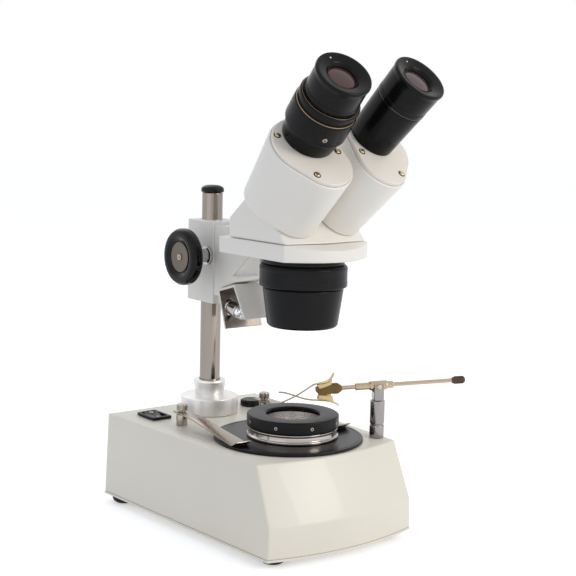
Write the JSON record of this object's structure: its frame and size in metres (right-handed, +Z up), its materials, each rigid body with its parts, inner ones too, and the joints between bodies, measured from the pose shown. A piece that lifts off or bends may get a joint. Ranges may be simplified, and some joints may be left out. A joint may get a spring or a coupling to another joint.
{
  "type": "stereo microscope",
  "caption": "Stereo microscope with a turning binocular head on a rack-focused pillar stand, over a lit box base with a dark-field ring and a wire gem clip.",
  "frame": {"origin": "On the flat underside of the bottom plate, straight below the middle of the stage plate; the rubber feet reach below it.", "axes": "+Z is up, +Y is the back where the pillar stands, +X is the right-hand side of a user who sits at -Y and looks towards +Y."},
  "size_m": [0.1636, 0.2124, 0.2993],
  "materials": {
    "base_bulb": "clear glass",
    "base_housing": "satin cream powder coat",
    "base_lamp_socket": "white lamp holder",
    "bottom_plate": "satin black anodised",
    "clamp_knob": "moulded black plastic",
    "clip_blade_left": "brushed steel",
    "clip_blade_right": "brushed steel",
    "clip_post_left": "polished chrome plate",
    "clip_post_right": "polished chrome plate",
    "condenser_ring": "polished chrome plate",
    "darkfield_ring": "satin black anodised",
    "dimmer_control": "brushed steel",
    "dimmer_knob": "moulded black plastic",
    "diopter_ring": "satin black anodised",
    "end_cap_left": "satin cream powder coat, lighter",
    "end_cap_right": "satin cream powder coat, lighter",
    "eyepiece_left": "satin black anodised",
    "eyepiece_right": "satin black anodised",
    "eyepiece_tube_left": "satin black anodised",
    "eyepiece_tube_right": "satin black anodised",
    "focus_arm": "satin cream powder coat",
    "focus_block": "satin cream powder coat",
    "focus_knob_left": "moulded black plastic",
    "focus_knob_right": "moulded black plastic",
    "focus_rack": "brass",
    "foot_front_left": "black rubber",
    "foot_front_right": "black rubber",
    "foot_rear_left": "black rubber",
    "foot_rear_right": "black rubber",
    "gem_clip_head": "dark brown anodised",
    "gem_fork": "polished chrome plate",
    "gem_inner_sleeve": "brushed steel",
    "gem_jaw_lower": "brass",
    "gem_jaw_upper": "brass",
    "gem_post": "polished chrome plate",
    "gem_rod": "brushed steel",
    "gem_rod_knob": "dark brown anodised",
    "gem_sleeve": "polished chrome plate",
    "head_body": "satin cream powder coat",
    "head_plate": "satin cream powder coat",
    "lamp_bulb": "clear glass",
    "lamp_shade": "satin cream powder coat, lighter",
    "lamp_socket": "brushed steel",
    "nosepiece_barrel": "satin black anodised",
    "nosepiece_neck": "satin black anodised",
    "nosepiece_ring": "satin black anodised",
    "pillar": "polished chrome plate",
    "pillar_cap": "moulded black plastic",
    "pillar_flange": "turned aluminium",
    "pinion_shaft": "brushed steel",
    "power_inlet": "moulded black plastic",
    "prism_housing_left": "satin cream powder coat",
    "prism_housing_right": "satin cream powder coat",
    "prism_left": "clear glass",
    "prism_right": "clear glass",
    "reflector_bowl": "polished chrome plate",
    "stage_plate": "satin black anodised",
    "switch_housing": "moulded black plastic",
    "switch_rocker": "moulded black plastic",
    "transformer": "brushed steel"
  },
  "bodies": {
    "base": {"base_housing": "base_housing", "bottom_plate": "bottom_plate", "foot_front_left": "foot_front_left", "foot_front_right": "foot_front_right", "foot_rear_left": "foot_rear_left", "foot_rear_right": "foot_rear_right", "stage_plate": "stage_plate", "condenser_ring": "condenser_ring", "darkfield_ring": "darkfield_ring", "reflector_bowl": "reflector_bowl", "base_lamp_socket": "base_lamp_socket", "base_bulb": "base_bulb", "transformer": "transformer", "switch_housing": "switch_housing", "dimmer_control": "dimmer_control", "power_inlet": "power_inlet", "clip_post_left": "clip_post_left", "clip_post_right": "clip_post_right", "pillar_flange": "pillar_flange", "gem_post": "gem_post"},
    "rocker": {"switch_rocker": "switch_rocker"},
    "dimmer": {"dimmer_knob": "dimmer_knob"},
    "clip_left": {"clip_blade_left": "clip_blade_left"},
    "clip_right": {"clip_blade_right": "clip_blade_right"},
    "column": {"pillar": "pillar", "pillar_cap": "pillar_cap"},
    "carriage": {"focus_block": "focus_block"},
    "clamp": {"clamp_knob": "clamp_knob"},
    "pinion": {"pinion_shaft": "pinion_shaft", "focus_knob_left": "focus_knob_left", "focus_knob_right": "focus_knob_right"},
    "head": {"focus_arm": "focus_arm", "focus_rack": "focus_rack", "lamp_shade": "lamp_shade", "lamp_socket": "lamp_socket", "lamp_bulb": "lamp_bulb", "head_plate": "head_plate", "head_body": "head_body", "nosepiece_neck": "nosepiece_neck"},
    "nosepiece": {"nosepiece_ring": "nosepiece_ring", "nosepiece_barrel": "nosepiece_barrel"},
    "left_eye": {"prism_housing_left": "prism_housing_left", "end_cap_left": "end_cap_left", "prism_left": "prism_left", "eyepiece_tube_left": "eyepiece_tube_left"},
    "right_eye": {"prism_housing_right": "prism_housing_right", "end_cap_right": "end_cap_right", "prism_right": "prism_right", "eyepiece_tube_right": "eyepiece_tube_right"},
    "left_ocular": {"eyepiece_left": "eyepiece_left"},
    "diopter": {"diopter_ring": "diopter_ring"},
    "right_ocular": {"eyepiece_right": "eyepiece_right"},
    "clip_fork": {"gem_fork": "gem_fork"},
    "clip_sleeve": {"gem_sleeve": "gem_sleeve"},
    "clip_inner": {"gem_inner_sleeve": "gem_inner_sleeve"},
    "clip_rod": {"gem_rod": "gem_rod", "gem_rod_knob": "gem_rod_knob", "gem_clip_head": "gem_clip_head"},
    "jaw_upper": {"gem_jaw_upper": "gem_jaw_upper"},
    "jaw_lower": {"gem_jaw_lower": "gem_jaw_lower"}
  },
  "joints": [
    {"name": "rocker_hinge", "type": "hinge", "parent": "base", "child": "rocker", "pos_m": [-0.041, 0.094, 0.0558], "axis": [1, 0, 0], "range_deg": [-18, 0]},
    {"name": "dimmer_turn", "type": "hinge", "parent": "base", "child": "dimmer", "pos_m": [0.0355, 0.088, 0.0558], "axis": [0, 0, 1], "range_deg": [0, 270]},
    {"name": "clip_left_swing", "type": "hinge", "parent": "base", "child": "clip_left", "pos_m": [-0.038, 0.065, 0.0642], "axis": [0, 0, 1], "range_deg": [-35, 4]},
    {"name": "clip_right_swing", "type": "hinge", "parent": "base", "child": "clip_right", "pos_m": [0.0295, 0.065, 0.0642], "axis": [0, 0, 1], "range_deg": [0, 35]},
    {"name": "column_swivel", "type": "hinge", "parent": "base", "child": "column", "pos_m": [0, 0.0887, 0.0558], "axis": [0, 0, 1], "range_deg": [-60, 60]},
    {"name": "carriage_slide", "type": "slide", "parent": "column", "child": "carriage", "axis": [0, 0, 1], "range_m": [-0.01, 0.015]},
    {"name": "clamp_turn", "type": "hinge", "parent": "carriage", "child": "clamp", "pos_m": [0, 0.0996, 0.148], "axis": [0, 1, 0], "range_deg": [-90, 90]},
    {"name": "focus_knob_turn", "type": "hinge", "parent": "carriage", "child": "pinion", "pos_m": [0, 0.0746, 0.1655], "axis": [1, 0, 0], "range_deg": [-313, 126.5]},
    {"name": "focus_slide", "type": "slide", "parent": "carriage", "child": "head", "axis": [0, 0, 1], "range_m": [-0.0101, 0.0251]},
    {"name": "nosepiece_turn", "type": "hinge", "parent": "head", "child": "nosepiece", "pos_m": [0.0008, -0.0104, 0.155], "axis": [0, 0, 1], "range_deg": [0, 90]},
    {"name": "left_eye_swing", "type": "hinge", "parent": "head", "child": "left_eye", "pos_m": [-0.0176, -0.02056, 0.19726], "axis": [-0.0872, -0.7044, 0.7044], "range_deg": [-6, 24]},
    {"name": "right_eye_swing", "type": "hinge", "parent": "head", "child": "right_eye", "pos_m": [0.0176, -0.02056, 0.19726], "axis": [0.0872, -0.7044, 0.7044], "range_deg": [-24, 6]},
    {"name": "left_ocular_slide", "type": "slide", "parent": "left_eye", "child": "left_ocular", "axis": [-0.0872, -0.7044, 0.7044], "range_m": [0, 0.004]},
    {"name": "diopter_turn", "type": "hinge", "parent": "left_ocular", "child": "diopter", "pos_m": [-0.02653, -0.05974, 0.26345], "axis": [-0.0872, -0.7044, 0.7044], "range_deg": [0, 181]},
    {"name": "right_ocular_turn", "type": "hinge", "parent": "right_eye", "child": "right_ocular", "pos_m": [0.02827, -0.07383, 0.27754], "axis": [0.0872, -0.7044, 0.7044], "continuous": true},
    {"name": "clip_fork_turn", "type": "hinge", "parent": "base", "child": "clip_fork", "pos_m": [0.0495, -0.0287, 0.0798], "axis": [0, 0, 1], "range_deg": [-60, 60]},
    {"name": "clip_tilt", "type": "hinge", "parent": "clip_fork", "child": "clip_sleeve", "pos_m": [0.0495, -0.0287, 0.0894], "axis": [-0.5016, -0.8651, 0], "range_deg": [-10, 4]},
    {"name": "clip_inner_slide", "type": "slide", "parent": "clip_sleeve", "child": "clip_inner", "axis": [-0.8634, 0.5006, -0.0628], "range_m": [-0.008, 0.004]},
    {"name": "clip_rod_turn", "type": "hinge", "parent": "clip_inner", "child": "clip_rod", "pos_m": [0.0495, -0.0287, 0.0894], "axis": [-0.8634, 0.5006, -0.0628], "continuous": true},
    {"name": "jaw_upper_hinge", "type": "hinge", "parent": "clip_rod", "child": "jaw_upper", "pos_m": [0.0182, -0.01055, 0.09113], "axis": [-0.5016, -0.8651, 0], "range_deg": [0, 8]},
    {"name": "jaw_lower_hinge", "type": "hinge", "parent": "clip_rod", "child": "jaw_lower", "pos_m": [0.01881, -0.0109, 0.07995], "axis": [-0.5016, -0.8651, 0], "range_deg": [-8, 0]}
  ],
  "couplings": [
    {"joint": "focus_knob_turn", "follows": "focus_slide", "rad_per_m": -217.4},
    {"joint": "right_eye_swing", "follows": "left_eye_swing", "ratio": -1},
    {"joint": "diopter_turn", "follows": "left_ocular_slide", "rad_per_m": 787.4},
    {"joint": "jaw_lower_hinge", "follows": "jaw_upper_hinge", "ratio": -1}
  ]
}
